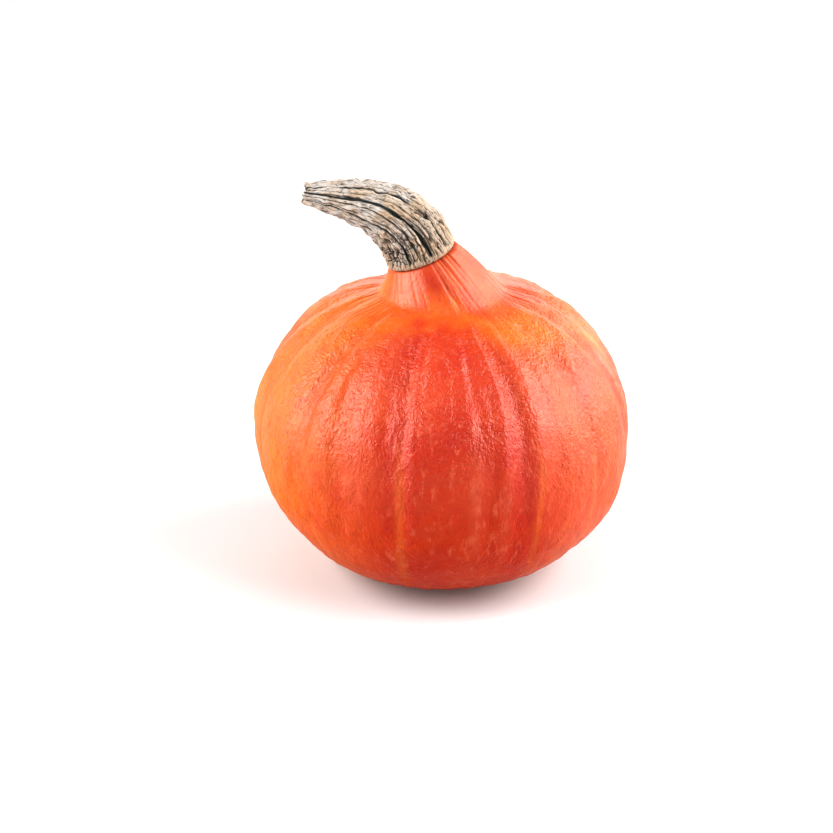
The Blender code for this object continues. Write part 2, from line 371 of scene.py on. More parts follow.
# Where the skin has less gloss and painted shade darkens it: the front, from the widest part down to the
# foot.
DULL_AND_SHADED_MIDDLE = -25.0
DULL_AND_SHADED_REACH = (85.0, 45.0)
DULL_AND_SHADED_LEVELS = (0.64, 0.42)
SCAR_EDGES = (0.0075, 0.0050)

# Colours, linear.
DEEP_RED = (0.425, 0.023, 0.002, 1.0)
WARM_RED = (0.485, 0.046, 0.003, 1.0)
LOBE_RED = (0.550, 0.090, 0.012, 1.0)
RING_ORANGE = (0.600, 0.120, 0.003, 1.0)
SIDE_ORANGE = (0.620, 0.175, 0.010, 1.0)
SKIN_YELLOW = (0.640, 0.210, 0.020, 1.0)
# A dark red that paints shade in the furrows, under the stem and on the front, and that also gives the skin's
# small dark specks.
SHADE_AND_SPECK_RED = (0.350, 0.011, 0.003, 1.0)
# A pale pink that paints highlights along ridges and welts, and that also gives the skin's pale waxy streaks.
PALE_STREAK_AND_HIGHLIGHT = (0.600, 0.150, 0.075, 1.0)
SCAR_BROWN = (0.300, 0.180, 0.090, 1.0)
CORK_PALE = (0.640, 0.590, 0.550, 1.0)
CORK_TAN = (0.590, 0.450, 0.325, 1.0)
CORK_DARK = (0.070, 0.050, 0.038, 1.0)
GROOVE_SLATE = (0.050, 0.060, 0.056, 1.0)
FLOOR_WHITE = (0.68, 0.69, 0.69, 1.0)
WORLD_WHITE = (1.0, 0.99, 0.98, 1.0)

# Shares of the colours that lie over the whole of a mark.
VEIN_YELLOW = 0.34
# The painted shade over the low front.
LOW_FRONT_SHADE_SHARE = 0.10
TAN_SHARE = 0.40
COLLAR_TAN = 0.75
INNER_DARKNESS = 0.7

# Patterns of the materials, as the noise (changes per metre, detail, roughness, distortion), the stretch of
# it that is spread out, and the limits that this stretch is spread to.
SKIN_CLOUDS = ((38.0, 4.0, 0.55, 0.0), (0.38, 0.66), (0.0, 1.0))
SKIN_MOTTLE = ((210.0, 3.0, 0.55, 0.0), (0.35, 0.70), (0.75, 1.0))
SKIN_SPECKS = ((520.0, 3.0, 0.55, 0.0), (0.56, 0.72), (0.0, 0.45))
SKIN_STREAKS = ((330.0, 4.0, 0.65, 0.0), (0.54, 0.70), (0.0, 0.60))
SKIN_WEAR = ((90.0, 3.0, 0.55, 0.0), (0.3, 0.7), (0.39, 0.50))
CORK_BLOTCHES = ((110.0, 4.0, 0.55, 0.0), (0.36, 0.56), (0.0, 1.0))
CORK_FIBRES = ((1300.0, 4.0, 0.6, 0.0), (0.52, 0.66), (0.0, 0.75))
CORK_FLECKS = ((1500.0, 2.0, 0.6, 0.3), (0.55, 0.64), (0.0, 0.68))
CORK_PATCHES = ((420.0, 4.0, 0.65, 0.3), (0.61, 0.69), (0.0, 0.50))
# The stretches of the cracks and of the grooves that are dark.
CRACK_STRETCH = (0.15, 0.75)
GROOVE_STRETCH = (0.30, 0.65)
# Bumps too small to model, as the noise and the depth in metres.
WRINKLE_BUMP = ((760.0, 1.5, 0.5, 0.0), 0.00075)
PORE_BUMP = ((1500.0, 0.0, 0.55, 0.0), 0.00024)
STRAND_BUMP = ((1000.0, 4.0, 0.65, 0.0), 0.0014)
CORK_GRAIN_BUMP = ((1200.0, 4.0, 0.65, 0.0), 0.0007)
# The specular level where the skin is glossy and where it is dull, and how far its patterns are stretched.
SKIN_GLOSS = (0.68, 0.18)
MOTTLE_STRETCH = 0.65
STREAK_STRETCH = 0.4

FLOOR_HALF_SIZE = 6.0
TINY = 1e-6


def held(value, lowest=0.0, highest=1.0):
    """The value, held between two limits."""
    return min(highest, max(lowest, value))


def smoothstep(value, edges):
    """0 at the first edge and 1 at the second, with an even start and end; the edges may fall or rise."""
    share = held((value - edges[0]) / (edges[1] - edges[0]))
    return share * share * (3 - 2 * share)


def hump(value, middle, half_width):
    return math.exp(-(((value - middle) / half_width) ** 2))


def turned_by(azimuth, other):
    """The azimuth counted from the other one, from -180 to 180."""
    return (azimuth - other + 180) % 360 - 180


def angle_from(angle, other):
    """The angle in radians counted from the other one, from -pi to pi."""
    return (angle - other + math.pi) % (2 * math.pi) - math.pi


def drift(across, along, pattern):
    """A slow change from -1 to 1, over a pattern of (width across, changes along, seed)."""
    width, changes, seed = pattern
    return noise.noise(Vector((across / width, along * changes, seed)))


def clouded(place, cloud):
    """A cloudy change round 0."""
    strength, size = cloud
    return strength * noise.noise(place / size)


def spot_share(azimuth, level, spot):
    """1 at the middle of a soft oval spot on the body, falling to 0 round it."""
    centre, middle, half_width, half_level = spot
    return hump(turned_by(azimuth, centre), 0.0, half_width) * hump(level, middle, half_level)


def level_band(level, lowest, highest, end):
    """1 between two levels and 0 past them, with soft ends."""
    start = smoothstep(level, (lowest - end, lowest + end))
    return start * smoothstep(level, (highest + end, highest - end))


def on_circle(angle, reach):
    return Vector((math.cos(angle) * reach, math.sin(angle) * reach, 0))


def superellipse_point(angle, rise, squareness):
    """(radius, height above the widest level) at an angle above the horizontal."""
    across = abs(math.cos(angle) / BODY_RADIUS) ** squareness
    upright = abs(math.sin(angle) / rise) ** squareness
    reach = (across + upright) ** (-1 / squareness)
    return reach * math.cos(angle), reach * math.sin(angle)


def superellipse_height(radius, rise, squareness):
    return rise * (1 - (radius / BODY_RADIUS) ** squareness) ** (1 / squareness)


def superellipse_angle(radius, rise, squareness):
    return math.atan2(superellipse_height(radius, rise, squareness), radius)


def neck_share(radius):
    """How far a point of the dome belongs to the neck: 0 on the shoulder, 1 on the neck's top face."""
    reach = (NECK_FOOT_RADIUS - radius) / (NECK_FOOT_RADIUS - NECK_TOP_RADIUS)
    full = NECK_FOOT_BLEND * math.log1p(math.exp(1 / NECK_FOOT_BLEND))
    return min(1.0, NECK_FOOT_BLEND * math.log1p(math.exp(reach / NECK_FOOT_BLEND)) / full)


def dome_height(radius):
    """Height of the dome and neck above the widest level, before the neck leans."""
    top = NECK_TOP_LEVEL - WIDEST_LEVEL
    edge = superellipse_height(NECK_TOP_RADIUS, DOME_RISE, DOME_SQUARENESS)
    return superellipse_height(radius, DOME_RISE, DOME_SQUARENESS) + (top - edge) * neck_share(radius)


def skin_outline():
    """The body's half outline as (radius, z), from the middle of the foot to the middle of the neck's top."""
    outline = [
        (0.0, SCAR_BUTTON_LIFT),
        (SCAR_BUTTON_RADIUS * 0.6, SCAR_BUTTON_LIFT * 0.8),
        (SCAR_BUTTON_RADIUS, SCAR_BUTTON_LIFT * 1.4),
        (SCAR_GROOVE_RADIUS, SCAR_GROOVE_LIFT),
        (FOOT_INNER_RADIUS - 0.001, 0.0004),
        (FOOT_INNER_RADIUS, 0.0),
    ]
    for step in range(1, FOOT_RINGS + 1):
        radius = FOOT_INNER_RADIUS + (FOOT_OUTER_RADIUS - FOOT_INNER_RADIUS) * step / FOOT_RINGS
        outline.append((radius, 0.0))
    start = superellipse_angle(FOOT_OUTER_RADIUS + 0.0012, WIDEST_LEVEL, BOWL_SQUARENESS)
    for step in range(BOWL_RINGS):
        angle = -start * (1 - step / BOWL_RINGS)
        radius, height = superellipse_point(angle, WIDEST_LEVEL, BOWL_SQUARENESS)
        outline.append((radius, WIDEST_LEVEL + height))
    end = superellipse_angle(DOME_END_RADIUS, DOME_RISE, DOME_SQUARENESS)
    for step in range(DOME_RINGS):
        radius, height = superellipse_point(end * step / DOME_RINGS, DOME_RISE, DOME_SQUARENESS)
        outline.append((radius, WIDEST_LEVEL + dome_height(radius)))
    for step in range(NECK_RINGS):
        radius = DOME_END_RADIUS + (NECK_TOP_RADIUS - DOME_END_RADIUS) * step / (NECK_RINGS - 1)
        outline.append((radius, WIDEST_LEVEL + dome_height(radius)))
    outline.append((NECK_TOP_RADIUS - NECK_EDGE_ROUNDING, NECK_TOP_LEVEL))
    outline.append((0.0, NECK_TOP_LEVEL))
    return outline


def turned_blank(outline, segments):
    """A closed mesh that turns the outline about Z. The outline starts and ends on the axis."""
    blank = bmesh.new()
    points = [blank.verts.new((radius, 0.0, z)) for radius, z in outline]
    edges = [blank.edges.new(pair) for pair in zip(points, points[1:])]
    bmesh.ops.spin(
        blank,
        geom=points + edges,
        axis=(0, 0, 1),
        cent=(0, 0, 0),
        angle=2 * math.pi,
        steps=segments,
        use_merge=True,
    )
    bmesh.ops.remove_doubles(blank, verts=blank.verts, dist=TINY)
    bmesh.ops.dissolve_degenerate(blank, edges=blank.edges, dist=TINY)
    bmesh.ops.recalc_face_normals(blank, faces=blank.faces)
    return blank


def back_relief():
    """The furrows of the hidden side, with a low welt after each."""
    pitch = (BACK_FURROW_LAST - BACK_FURROW_FIRST) / (BACK_FURROW_COUNT - 1)
    relief = []
    for index in range(BACK_FURROW_COUNT):
        shift = BACK_FURROW_WANDER * noise.noise(Vector((index * BACK_SEED, BACK_SEED, 0.5)))
        azimuth = BACK_FURROW_FIRST + pitch * index + shift
        relief.append((azimuth, -BACK_FURROW_DEPTH, BACK_FURROW_HALF_WIDTH))
        welt = azimuth + pitch / 2
        relief.append((welt, BACK_WELT_SHARE * -BACK_FURROW_DEPTH, BACK_FURROW_HALF_WIDTH))
    return relief


BODY_RELIEF = list(FRONT_RELIEF) + back_relief()


def swayed(azimuth, level):
    return azimuth + RELIEF_SWAY_DEG * drift(azimuth, level, RELIEF_DRIFT)


def furrows_and_welts(azimuth, level):
    height = 0.0
    for centre, peak, half_width in BODY_RELIEF:
        height += peak * hump(turned_by(swayed(azimuth, level), centre), 0.0, half_width)
    return height * smoothstep(level, RELIEF_FADE_IN) * smoothstep(level, RELIEF_FADE_OUT)


def unevenness(azimuth, level, place):
    lumps = LUMP_HEIGHT * noise.noise(place / LUMP_SIZE)
    for *spot, height in BROAD_SWELLINGS:
        lumps += height * spot_share(azimuth, level, spot)
    return lumps * smoothstep(level, UNEVEN_FADE_IN)


def outward(radius, height):
    """The body's outward direction in its half outline, as (radial, upward)."""
    rise, squareness = (DOME_RISE, DOME_SQUARENESS) if height > 0 else (WIDEST_LEVEL, BOWL_SQUARENESS)
    radial = radius ** (squareness - 1) / BODY_RADIUS**squareness
    upward = math.copysign(abs(height) ** (squareness - 1) / rise**squareness, height)
    return Vector((radial, upward)).normalized()


def azimuth_and_level(place):
    radius = math.hypot(place.x, place.y)
    azimuth = math.degrees(math.atan2(place.x, -place.y)) if radius > TINY else 0.0
    return azimuth, 0.5 + math.atan2(place.z - WIDEST_LEVEL, radius) / math.pi


def shape_skin_point(place):
    """Moves a point of the turned body to where the skin is, without its fine wrinkles."""
    radius = math.hypot(place.x, place.y)
    if radius < FOOT_OUTER_RADIUS + TINY and place.z < WIDEST_LEVEL:
        return place
    height = place.z - WIDEST_LEVEL
    azimuth, level = azimuth_and_level(place)
    share = neck_share(radius) if height > 0 else 0.0
    radial, upward = outward(max(radius, NECK_TOP_RADIUS), height)
    swell = (furrows_and_welts(azimuth, level) + unevenness(azimuth, level, place)) * (1 - share)
    grow = swell * (radial if share < 0.5 else 1.0)
    shaped = Vector((place.x, place.y, place.z + swell * upward))
    if radius > 0:
        shaped.x += grow * place.x / radius
        shaped.y += grow * place.y / radius
    shaped.z += shaped.x * math.tan(NECK_TILT) * share
    shaped.x -= NECK_LEAN * share
    return shaped


def scattered_azimuths(count, seed):
    """Azimuths spread round the body, each a little out of place, with a strength of up to 1."""
    spread = []
    for index in range(count):
        place = Vector((index * 1.37, seed, 0.31))
        azimuth = (index + SCATTER_WANDER * noise.noise(place)) * 360 / count
        strength = 0.65 + 0.7 * noise.noise(place + Vector((0, 0, 5)))
        spread.append((azimuth, held(strength, WEAKEST)))
    return spread


CREASES = scattered_azimuths(CREASE_COUNT, 2.3)
PLEATS = list(FRONT_PLEATS)
PLEATS += [pleat for pleat in scattered_azimuths(PLEAT_COUNT, 7.9) if abs(turned_by(pleat[0], 0.0)) > 90]


def line_depth(lines, azimuth, half_width, reach):
    """The depth, from 0 to 1, of the lines that pass near an azimuth."""
    depth = 0.0
    for centre, strength in lines:
        off = turned_by(azimuth, centre)
        if abs(off) < reach:
            depth += strength * hump(off, 0.0, half_width)
    return depth


def pleat_depth(azimuth, level):
    """How deep a point of the neck lies in the pleats, each of which sways and fades by itself."""
    depth = 0.0
    for centre, strength in PLEATS:
        off = turned_by(azimuth, centre) + PLEAT_SWAY_DEG * drift(centre, level, PLEAT_DRIFT)
        if abs(off) < PLEAT_REACH:
            fading = max(0.2, 1 + 1.2 * drift(centre, level, PLEAT_FADING))
            depth += strength * fading * hump(off, 0.0, PLEAT_HALF_WIDTH)
    return depth


def wrinkles(azimuth, level, place, share):
    """Height of the creases, the pleats, the pebbles and the grain at a point of the skin."""
    wander = drift(azimuth, level, CREASE_DRIFT)
    broken = smoothstep(drift(azimuth, level, CREASE_BREAKS), CREASE_BREAK_EDGES)
    crease = line_depth(CREASES, azimuth + CREASE_SWAY_DEG * wander, CREASE_HALF_WIDTH, CREASE_REACH)
    crease *= FRONT_CREASE_SHARE + (1 - FRONT_CREASE_SHARE) * smoothstep(abs(azimuth), FRONT_TO_SIDE)
    height = -CREASE_DEPTH * crease * broken * (1 - share)
    for centre, strength, lowest, highest in FRONT_CREASES:
        off = turned_by(swayed(azimuth, level) + FRONT_CREASE_SWAY_DEG * wander, centre)
        if abs(off) < FRONT_CREASE_REACH:
            band = level_band(level, lowest, highest, FRONT_CREASE_END)
            height -= CREASE_DEPTH * strength * band * hump(off, 0.0, FRONT_CREASE_HALF_WIDTH)
    if share > PLEAT_NECK_SHARES[0]:
        height -= PLEAT_DEPTH * pleat_depth(azimuth, level) * smoothstep(share, PLEAT_NECK_SHARES)
    rough = rough_share(level, place)
    stretched = Vector((place.x, place.y, place.z * GRAIN_STRETCH))
    height += PEBBLE_HEIGHT * rough * noise.noise(stretched / PEBBLE_SIZE)
    height += GRAIN_HEIGHT * rough * noise.noise(stretched / GRAIN_SIZE)
    return height * smoothstep(level, WRINKLE_FADE_IN)


def ring_share(azimuth, level, place):
    """The orange ring round the neck's foot, lower at the sides than at the front."""
    ring_level = ORANGE_RING_LEVEL - ORANGE_RING_DROP * smoothstep(abs(azimuth), ORANGE_RING_SIDES)
    ring = hump(level + clouded(place, RING_RAGGEDNESS), ring_level, ORANGE_RING_HALF)
    return held(ring * (1 + clouded(place, RING_CLOUD)))


def orange_share(azimuth, level, place):
    """How orange the skin is: on the left side, in some spots, near the foot, and in clouds on the back."""
    side = hump(turned_by(azimuth, ORANGE_SIDE_AZIMUTH), 0.0, ORANGE_SIDE_HALF)
    cloud = sum(clouded(place, cloud) for cloud in ORANGE_CLOUDS)
    back = smoothstep(abs(azimuth), ORANGE_BACK_SIDES) * smoothstep(cloud, ORANGE_CLOUD_EDGES)
    low = smoothstep(level, ORANGE_FOOT_LEVELS)
    spots = [strength * spot_share(azimuth, level, spot) for *spot, strength in ORANGE_SPOTS]
    orange = max(side, ORANGE_BACK_SHARE * back, ORANGE_FOOT_SHARE * low, *spots)
    return held(orange * (1 + ORANGE_CLOUD_SHARE * cloud) * smoothstep(level, ORANGE_TOP_LEVELS))


def lobe_share(azimuth, level, place):
    """How warm the red is: least along the middle of the front, more to the sides and on the neck, none in
    the painted shade under the stem.
    """
    side = smoothstep(abs(turned_by(azimuth, LOBE_MIDDLE)), LOBE_EDGES)
    side = max(side, smoothstep(level, NECK_LEVELS))
    warm = side * (LOBE_STRENGTH + clouded(place, LOBE_CLOUD))
    return held(warm - spot_share(azimuth, level, STEM_SHADE_SPOT))


def yellow_share(azimuth, level, place):
    """The yellow patch high on the right side, which leans over with the skin."""
    lean = (level - YELLOW_PATCH[1]) * YELLOW_LEAN_DEG
    return held(spot_share(azimuth + lean, level, YELLOW_PATCH) * (1 + clouded(place, YELLOW_CLOUD)))


def vein_share(azimuth, level):
    """The thin veins that run up the body."""
    wander = VEIN_SWAY_DEG * drift(azimuth, level, VEIN_DRIFT)
    vein = max(hump(turned_by(azimuth + wander, centre), 0.0, half_width) for centre, half_width in VEINS)
    broken = smoothstep(drift(azimuth, level, VEIN_BREAKS), VEIN_BREAK_EDGES)
    broken = max(broken, smoothstep(abs(azimuth), WHOLE_VEIN_REACH))
    return vein * broken * smoothstep(level, VEIN_FADE_IN) * smoothstep(level, VEIN_FADE_OUT)


def painted_highlight_share(azimuth, level, place):
    """Painted highlights: light lines along ridges and welts, blotched and swaying with the furrows."""
    painted_highlight = 0.0
    for centre, half_width, lowest, highest, strength in PAINTED_HIGHLIGHT_LINES:
        line = strength * hump(turned_by(swayed(azimuth, level), centre), 0.0, half_width)
        painted_highlight = max(painted_highlight, line * level_band(level, lowest, highest, HIGHLIGHT_LINE_END))
    return held(painted_highlight * (1 + clouded(place, HIGHLIGHT_LINE_CLOUD)))


def dull_and_shaded_share(azimuth, level):
    """How little gloss the skin has and how much painted shade darkens it: most on the front, from the widest
    part down to the foot.
    """
    return smoothstep(level, DULL_AND_SHADED_LEVELS) * smoothstep(abs(turned_by(azimuth, DULL_AND_SHADED_MIDDLE)), DULL_AND_SHADED_REACH)


def rough_share(level, place):
    """How wrinkled the skin is: in patches on the body, little on the neck and near the foot."""
    patches = smoothstep(noise.noise(place / ROUGH_PATCH_SIZE), ROUGH_PATCH_EDGES)
    rough = LEAST_ROUGHNESS + (1 - LEAST_ROUGHNESS) * patches
    rough *= 1 - NECK_SMOOTHNESS * smoothstep(level, NECK_SMOOTH_LEVELS)
    return rough * smoothstep(level, ROUGH_FADE_IN)


def painted_shade_share(azimuth, level, place):
    """The painted shade, dark red: in the furrows by their depth, under the front of the stem and on a patch
    of the front.
    """
    painted_shade = FURROW_SHADE_SHARE * held(-furrows_and_welts(azimuth, level) / FURROW_SHADE_FULL_DEPTH)
    neck = STEM_SHADE_SHARE * spot_share(azimuth, level, STEM_SHADE_SPOT)
    patch = FRONT_SHADE_SHARE * spot_share(azimuth, level, FRONT_SHADE_SPOT)
    return max(painted_shade, neck, patch * (1 + clouded(place, FRONT_SHADE_CLOUD)))


def scar_share(place):
    """The scar that the blossom left, in the middle of the foot."""
    if place.z > WIDEST_LEVEL:
        return 0.0
    return smoothstep(math.hypot(place.x, place.y), SCAR_EDGES)


def skin_marks(azimuth, level, place):
    """The share of each marking, painted shade and painted highlight at a point of the skin."""
    return {
        "rough": rough_share(level, place),
        "dull_and_shaded": dull_and_shaded_share(azimuth, level),
        "lobe": lobe_share(azimuth, level, place),
        "ring": ring_share(azimuth, level, place),
        "orange": orange_share(azimuth, level, place),
        "yellow": yellow_share(azimuth, level, place),
        "vein": vein_share(azimuth, level),
        "painted_highlight": painted_highlight_share(azimuth, level, place),
        "painted_shade": painted_shade_share(azimuth, level, place),
        "scar": scar_share(place),
    }


def make_skin():
    body = turned_blank(skin_outline(), BODY_SEGMENTS)
    layers = {name: body.verts.layers.float.new(name) for name in skin_marks(0.0, 0.5, Vector((0, 0, 1)))}
    blanks = {vertex: vertex.co.copy() for vertex in body.verts}
    for vertex, blank in blanks.items():
        vertex.co = shape_skin_point(blank)
    body.normal_update()
    for vertex, blank in blanks.items():
        azimuth, level = azimuth_and_level(blank)
        radius = math.hypot(blank.x, blank.y)
        share = neck_share(radius) if blank.z > WIDEST_LEVEL else 0.0
        for name, value in skin_marks(azimuth, level, blank).items():
            vertex[layers[name]] = value
        if radius > NECK_TOP_RADIUS - TINY or blank.z < WIDEST_LEVEL:
            vertex.co += vertex.normal * wrinkles(azimuth, level, blank, share)
    return finish_piece("skin", body, skin_material(), "squash_fruit")


def stem_handles():
    start = Vector((-NECK_LEAN, 0.0, NECK_TOP_LEVEL))
    facing = Vector((-math.sin(NECK_TILT), 0.0, math.cos(NECK_TILT)))
    return start, start + facing * STEM_FIRST_HANDLE, STEM_SECOND_HANDLE, STEM_TIP


def stem_centre(share):
    """A point on the stem's centre line and the line's direction there, from 0, base, to 1, tip."""
    a, b, c, d = stem_handles()
    rest = 1 - share
    point = a * rest**3 + b * (3 * rest * rest * share) + c * (3 * rest * share * share) + d * share**3
    along = (b - a) * (rest * rest) + (c - b) * (2 * rest * share) + (d - c) * (share * share)
    return point, along.normalized()


def stem_grooves(count, seed):
    """Angles of the grooves round the stem, each with a depth and a width of its own."""
    grooves = []
    for index in range(count):
        place = Vector((index * 2.13, 4.4, seed))
        angle = (index + STEM_GROOVE_WANDER * noise.noise(place)) * 2 * math.pi / count
        depth = 0.7 + 1.0 * noise.noise(place + Vector((0, 3, 0)))
        width = 1.0 + 1.4 * noise.noise(place + Vector((0, 0, 7)))
        grooves.append((angle, held(depth, 0.3, 1.2), held(width, 0.5, 1.9)))
    return grooves


MAIN_GROOVES = list(FRONT_GROOVES)
MAIN_GROOVES += [groove for groove in stem_grooves(STEM_GROOVE_COUNT, 0.9) if 0.0 < groove[0] < 3.5]
FINE_GROOVES = stem_grooves(FINE_GROOVE_COUNT, 6.3)


def groove_share(grooves, half_width, angle, share):
    """How deep a point of the stem lies in one of the grooves, from 0 to 1."""
    deepest = 0.0
    for centre, depth, width in grooves:
        sway = STEM_GROOVE_SWAY * drift(centre, share, STEM_GROOVE_DRIFT)
        sway += STEM_GROOVE_SHIVER * drift(centre, share, STEM_GROOVE_SHIVER_DRIFT)
        off = angle_from(angle + sway, centre)
        if abs(off) < 4 * half_width:
            narrow = 0.8 + 0.7 * drift(centre, share, STEM_GROOVE_WIDTH_DRIFT)
            narrow *= 1 + GROOVE_FLARE * share
            deepest = max(deepest, depth * hump(off, 0.0, half_width * width * max(0.3, narrow)))
    return min(1.0, deepest)


def crack_share(angle, share, mean):
    """The meandering cracks of the cork: long ones, and short ones that get longer towards the base."""
    crowded = share + 0.5 * share * (1 - share) + 0.9 * (share - 0.5 * share * share)
    place = on_circle(angle, mean / CRACK_ACROSS) + Vector((0, 0, crowded * CORK_LENGTH / CRACK_ALONG))
    bend = 0.9 * noise.noise(place * 0.5 + Vector((5, 5, 5)))
    long_ones = abs(noise.noise(place + Vector((bend, bend, bend * 0.5))))
    fine = place * 1.9 + Vector((3, 1, 2 + share * 3))
    short_ones = abs(noise.noise(fine + Vector((0.5 * bend, bend, 0))))
    short_share = SHORT_CRACK_SHARE * smoothstep(short_ones, SHORT_CRACK_EDGES)
    return max(smoothstep(long_ones, LONG_CRACK_EDGES), short_share)


def chunk_share(angle, share, mean):
    """The cracks between the chunks of cork near the base, most of them on the inner side of the bend."""
    place = on_circle(angle, mean / CHUNK_ACROSS) + Vector((0, 0, share * CORK_LENGTH / CHUNK_ALONG))
    place += 0.5 * noise.noise_vector(place * 0.8)
    nearest, second = noise.voronoi(place)[0][:2]
    side = hump(angle_from(angle, CHUNK_PLACE[0]), 0.0, CHUNK_PLACE[1])
    crowd = smoothstep(share, CHUNK_LEVELS) * (0.3 + 0.7 * side)
    return smoothstep(second - nearest, CHUNK_CRACK_EDGES) * crowd


def stem_mean_radius(share):
    taper = math.cos(math.pi / 2 * min(1.0, share))
    return STEM_TIP_RADIUS + (STEM_BASE_RADIUS - STEM_TIP_RADIUS) * taper


def cork_marks(angle, share):
    """The shares of groove, crack, collar and tan at a point of the stem."""
    mean = stem_mean_radius(share)
    uneven = COLLAR_END_WANDER * noise.noise(on_circle(angle, 3) + Vector((0, 0, 1.1)))
    free = smoothstep(share + uneven, COLLAR_END)
    broken = smoothstep(noise.noise(on_circle(angle, 4) + Vector((0, 0, share * 7))), (-0.3, 0.1))
    fine = FINE_GROOVE_SHARE * groove_share(FINE_GROOVES, FINE_GROOVE_HALF_WIDTH, angle, share) * broken
    spread = 0.35 + 0.45 * smoothstep(share, CRACK_CROWD_LEVELS)
    crack = max(crack_share(angle, share, mean) * spread, chunk_share(angle, share, mean))
    return {
        "groove": groove_share(MAIN_GROOVES, STEM_GROOVE_HALF_WIDTH, angle, share) * free,
        "crack": max(crack * (0.4 + 0.6 * free), fine * free),
        "collar": 1 - free,
        "tan": smoothstep(share, TAN_LEVELS) * (1 + hump(angle, TAN_SIDE[0], TAN_SIDE[1])),
    }


def shape_stem_point(place, marks):
    """Bends a point of the turned column, of radius 1 and height 1, onto the stem."""
    share, angle = place.z, math.atan2(place.y, place.x)
    middle, along = stem_centre(held(share))
    side = Vector((0, 1, 0))
    side = (side - along * side.dot(along)).normalized()
    inward = side.cross(along)
    mean = stem_mean_radius(share)
    slim = mean / STEM_BASE_RADIUS
    radius = mean + COLLAR_HEIGHT * hump(share, COLLAR_LEVEL, COLLAR_HALF_WIDTH)
    radius += CORK_THICKENING * slim
    radius -= STEM_GROOVE_DEPTH * marks["groove"] * (0.15 + 0.85 * slim)
    radius -= CRACK_DEPTH * marks["crack"] * (0.4 + 0.6 * slim)
    out = inward * math.cos(angle) + side * math.sin(angle)
    reach = math.hypot(place.x, place.y)
    shaped = middle + out * reach * radius
    rough = smoothstep(share, (0.02, 0.15)) * reach
    shaped += out * STEM_LUMP_HEIGHT * rough * slim * noise.noise(shaped / STEM_LUMP_SIZE)
    shaped += out * STEM_KNOB_HEIGHT * rough * noise.noise(shaped / STEM_KNOB_SIZE)
    strand = on_circle(angle, mean / STRAND_SIZE)
    strand.z = share * CORK_LENGTH / (STRAND_SIZE * STRAND_STRETCH)
    shaped += out * STRAND_HEIGHT * rough * (0.5 + 0.5 * slim) * noise.noise(strand)
    torn = 0.6 * math.sin(3 * angle + 1)
    torn += 2.0 * noise.noise(on_circle(angle, 3) + Vector((0, 0, 0.4)))
    torn += 1.2 * noise.noise(on_circle(angle, 9) + Vector((0, 0, 2.4)))
    return shaped + along * TIP_RAGGEDNESS * torn * smoothstep(share, TIP_RAGGED_LEVELS)


def make_stem():
    noise.seed_set(CHUNK_SEED)
    outline = [(0.0, 0.0), *LIP_ROUNDING, (1.0, LIP_END)]
    outline += [(1.0, LIP_END + (1 - LIP_END) * step / STEM_RINGS) for step in range(1, STEM_RINGS + 1)]
    outline += TIP_ROUNDING
    column = turned_blank(outline, STEM_SEGMENTS)
    layers = {name: column.verts.layers.float.new(name) for name in cork_marks(0.0, 0.5)}
    inner = column.verts.layers.float.new("inner")
    fibre = column.verts.layers.float_vector.new("fibre")
    for vertex in column.verts:
        blank = vertex.co.copy()
        marks = cork_marks(math.atan2(blank.y, blank.x), blank.z)
        for name, value in marks.items():
            vertex[layers[name]] = value
        around = Vector((blank.x, blank.y, 0)) * stem_mean_radius(blank.z)
        vertex[fibre] = around + Vector((0, 0, blank.z * CORK_LENGTH / FIBRE_STRETCH))
        hollow = blank.z > TIP_INNER[0] and math.hypot(blank.x, blank.y) < TIP_INNER[1]
        vertex[inner] = 1.0 if hollow else 0.0
        vertex.co = shape_stem_point(blank, marks)
    return finish_piece("stem_cork", column, cork_material(), "squash_stem")


def finish_piece(name, shape, material, node):
    """Makes the object of a finished shape, which rides with the squash and stands for its CAD node."""
    mesh = bpy.data.meshes.new(name)
    shape.to_mesh(mesh)
    shape.free()
    mesh.shade_smooth()
    mesh.materials.append(material)
    piece = bpy.data.objects.new(name, mesh)
    bpy.context.scene.collection.objects.link(piece)
    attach(piece, "root")
    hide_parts(node)
    return piece


def new_material(name):
    material = bpy.data.materials.new(name)
    material.use_nodes = True
    return material, material.node_tree, material.node_tree.nodes["Principled BSDF"]


def read_mark(tree, name, output="Fac"):
    node = tree.nodes.new("ShaderNodeAttribute")
    node.attribute_name = name
    return node.outputs[output]


def object_coordinates(tree, upright=1.0):
    """The coordinates of the piece, with the upright one scaled."""
    coordinates = tree.nodes.new("ShaderNodeTexCoord")
    mapping = tree.nodes.new("ShaderNodeMapping")
    mapping.inputs["Scale"].default_value = (1.0, 1.0, upright)
    tree.links.new(coordinates.outputs["Object"], mapping.inputs["Vector"])
    return mapping.outputs["Vector"]


def noise_value(tree, vector, settings):
    node = tree.nodes.new("ShaderNodeTexNoise")
    for name, value in zip(("Scale", "Detail", "Roughness", "Distortion"), settings):
        node.inputs[name].default_value = value
    tree.links.new(vector, node.inputs["Vector"])
    return node.outputs["Fac"]


def spread_out(tree, value, stretch, limits=(0.0, 1.0)):
    """A stretch of the value, spread out and held to the new limits."""
    node = tree.nodes.new("ShaderNodeMapRange")
    for name, number in zip(("From Min", "From Max", "To Min", "To Max"), stretch + limits):
        node.inputs[name].default_value = number
    tree.links.new(value, node.inputs["Value"])
    return node.outputs["Result"]


def patterned(tree, vector, pattern):
    settings, stretch, limits = pattern
    return spread_out(tree, noise_value(tree, vector, settings), stretch, limits)


def multiplied(tree, first, second):
    node = tree.nodes.new("ShaderNodeMath")
    node.operation = "MULTIPLY"
    for socket, value in zip(node.inputs, (first, second)):
        if isinstance(value, float):
            socket.default_value = value
        else:
            tree.links.new(value, socket)
    return node.outputs["Value"]


